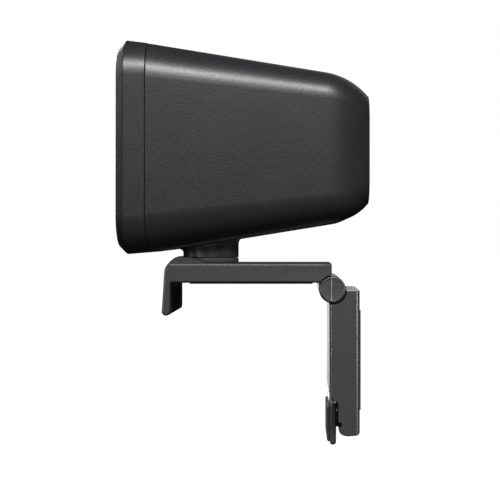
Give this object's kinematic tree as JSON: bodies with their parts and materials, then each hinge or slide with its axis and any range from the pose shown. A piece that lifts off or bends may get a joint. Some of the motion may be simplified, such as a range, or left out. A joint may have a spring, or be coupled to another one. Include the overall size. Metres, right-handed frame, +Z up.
{
  "type": "webcam on monitor clip",
  "caption": "Boxy webcam head turning on a short round neck above a fold-flat monitor clip with a front lip, a hinged leg and a small tilting foot.",
  "frame": {"origin": "centre of the bottom face of the pad under the clip's arm, where it rests on a monitor's top edge", "axes": "+Z up; the lens faces -Y, so the leg hangs on the +Y side behind the monitor; X runs across the width"},
  "size_m": [0.079, 0.0577, 0.0945],
  "materials": {
    "head_plastic": "fine moulded grain, matte",
    "clip_plastic": "fine moulded grain, matte",
    "face_plastic": "smooth satin",
    "dark_trim": "satin",
    "lens_glass": "coated and clear",
    "pad_rubber": "matte",
    "thermal_rubber": "soft and matte",
    "board": "solder mask",
    "chip_plastic": "moulded",
    "clear_plastic": "clear moulding",
    "sink_aluminium": "anodised",
    "insert_brass": "machined",
    "fixing_steel": "plated"
  },
  "bodies": {
    "clip": {"clip_arm": "clip_plastic", "lip_pad": "pad_rubber", "seat_pad": "pad_rubber", "friction_washer": "pad_rubber", "hinge_pin": "fixing_steel", "hinge_cap_left": "clip_plastic", "hinge_cap_right": "clip_plastic"},
    "head": {"front_bezel": "head_plastic", "front_plate": "face_plastic", "lens_ring": "dark_trim", "lens_window": "lens_glass", "lens_gasket": "pad_rubber", "lens_barrel": "dark_trim", "lens_retainer": "sink_aluminium", "lens_element_front": "lens_glass", "lens_element_middle": "lens_glass", "lens_element_rear": "lens_glass", "lens_spacer": "dark_trim", "lens_holder": "dark_trim", "holder_screw_left": "fixing_steel", "holder_screw_right": "fixing_steel", "ir_filter": "lens_glass", "image_sensor": "chip_plastic", "sensor_board": "board", "standoff_left": "insert_brass", "standoff_right": "insert_brass", "board_connector": "chip_plastic", "main_board": "board", "board_screw_a": "fixing_steel", "board_screw_b": "fixing_steel", "board_screw_c": "fixing_steel", "board_screw_d": "fixing_steel", "processor": "chip_plastic", "shield_can": "fixing_steel", "thermal_pad": "thermal_rubber", "heat_sink": "sink_aluminium", "status_led": "clear_plastic", "led_light_pipe": "clear_plastic", "usb_board": "board", "usb_shell": "fixing_steel", "usb_tongue": "chip_plastic", "rear_housing": "head_plastic", "rear_grille": "dark_trim", "housing_screw_a": "fixing_steel", "housing_screw_b": "fixing_steel", "housing_screw_c": "fixing_steel", "housing_screw_d": "fixing_steel", "tripod_insert": "insert_brass", "mounting_screw": "fixing_steel", "spring_washer": "fixing_steel"},
    "leg": {"leg": "clip_plastic", "leg_strip": "pad_rubber", "friction_sleeve_left": "fixing_steel", "friction_sleeve_right": "fixing_steel"},
    "foot": {"foot": "clip_plastic", "foot_pad": "pad_rubber", "foot_pin": "fixing_steel"}
  },
  "joints": [
    {"name": "head_pan", "type": "hinge", "parent": "clip", "child": "head", "pos_m": [0, -0.0106, 0.006], "axis": [0, 0, 1], "continuous": true},
    {"name": "leg_fold", "type": "hinge", "parent": "clip", "child": "leg", "pos_m": [0, 0.01946, -0.00138], "axis": [1, 0, 0], "range_deg": [-87.5, 90]},
    {"name": "foot_tilt", "type": "hinge", "parent": "leg", "child": "foot", "pos_m": [0, 0.0212, -0.0336], "axis": [1, 0, 0], "range_deg": [-10, 10]}
  ]
}
